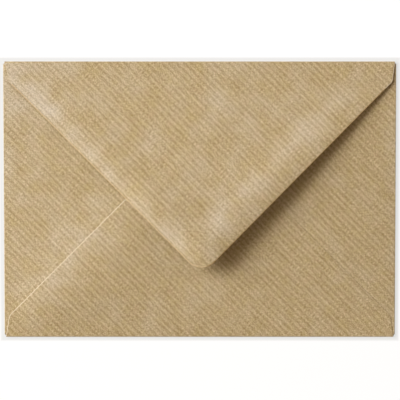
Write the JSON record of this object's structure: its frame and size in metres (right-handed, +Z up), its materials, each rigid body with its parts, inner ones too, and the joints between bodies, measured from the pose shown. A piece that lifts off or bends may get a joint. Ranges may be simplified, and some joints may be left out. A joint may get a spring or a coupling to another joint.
{
  "type": "envelope",
  "caption": "Flat rectangular paper envelope with a pointed seal flap that swings on its top fold, made to enclose and post a card or a folded letter.",
  "frame": {"origin": "on the table, under the middle of the folded envelope", "axes": "+X along the long side, to the right as seen from the flap side; +Y towards the top fold, where the seal flap hinges; +Z up, out of the back of the envelope, which lies on its front"},
  "size_m": [0.162, 0.114, 0.0102],
  "materials": {
    "kraft_paper": "matte",
    "creased_paper": "matte",
    "seam_glue": "satin",
    "dried_gum": "gloss"
  },
  "bodies": {
    "pocket": {"front_panel": "kraft_paper", "left_side_flap": "kraft_paper", "right_side_flap": "kraft_paper", "bottom_flap": "kraft_paper", "left_crease": "creased_paper", "right_crease": "creased_paper", "bottom_crease": "creased_paper", "top_crease": "creased_paper", "left_seam_glue": "seam_glue", "right_seam_glue": "seam_glue"},
    "flap": {"seal_flap": "kraft_paper", "seal_gum": "dried_gum"}
  },
  "joints": [
    {"name": "seal_flap_hinge", "type": "hinge", "parent": "pocket", "child": "flap", "pos_m": [0, 0.05651, 0.00049], "axis": [-1, 0, 0], "range_deg": [-3.5, 176.5], "stiffness_Nm_per_rad": 0.003, "springref_deg": 4.58, "deforming": ["top_crease"]}
  ]
}
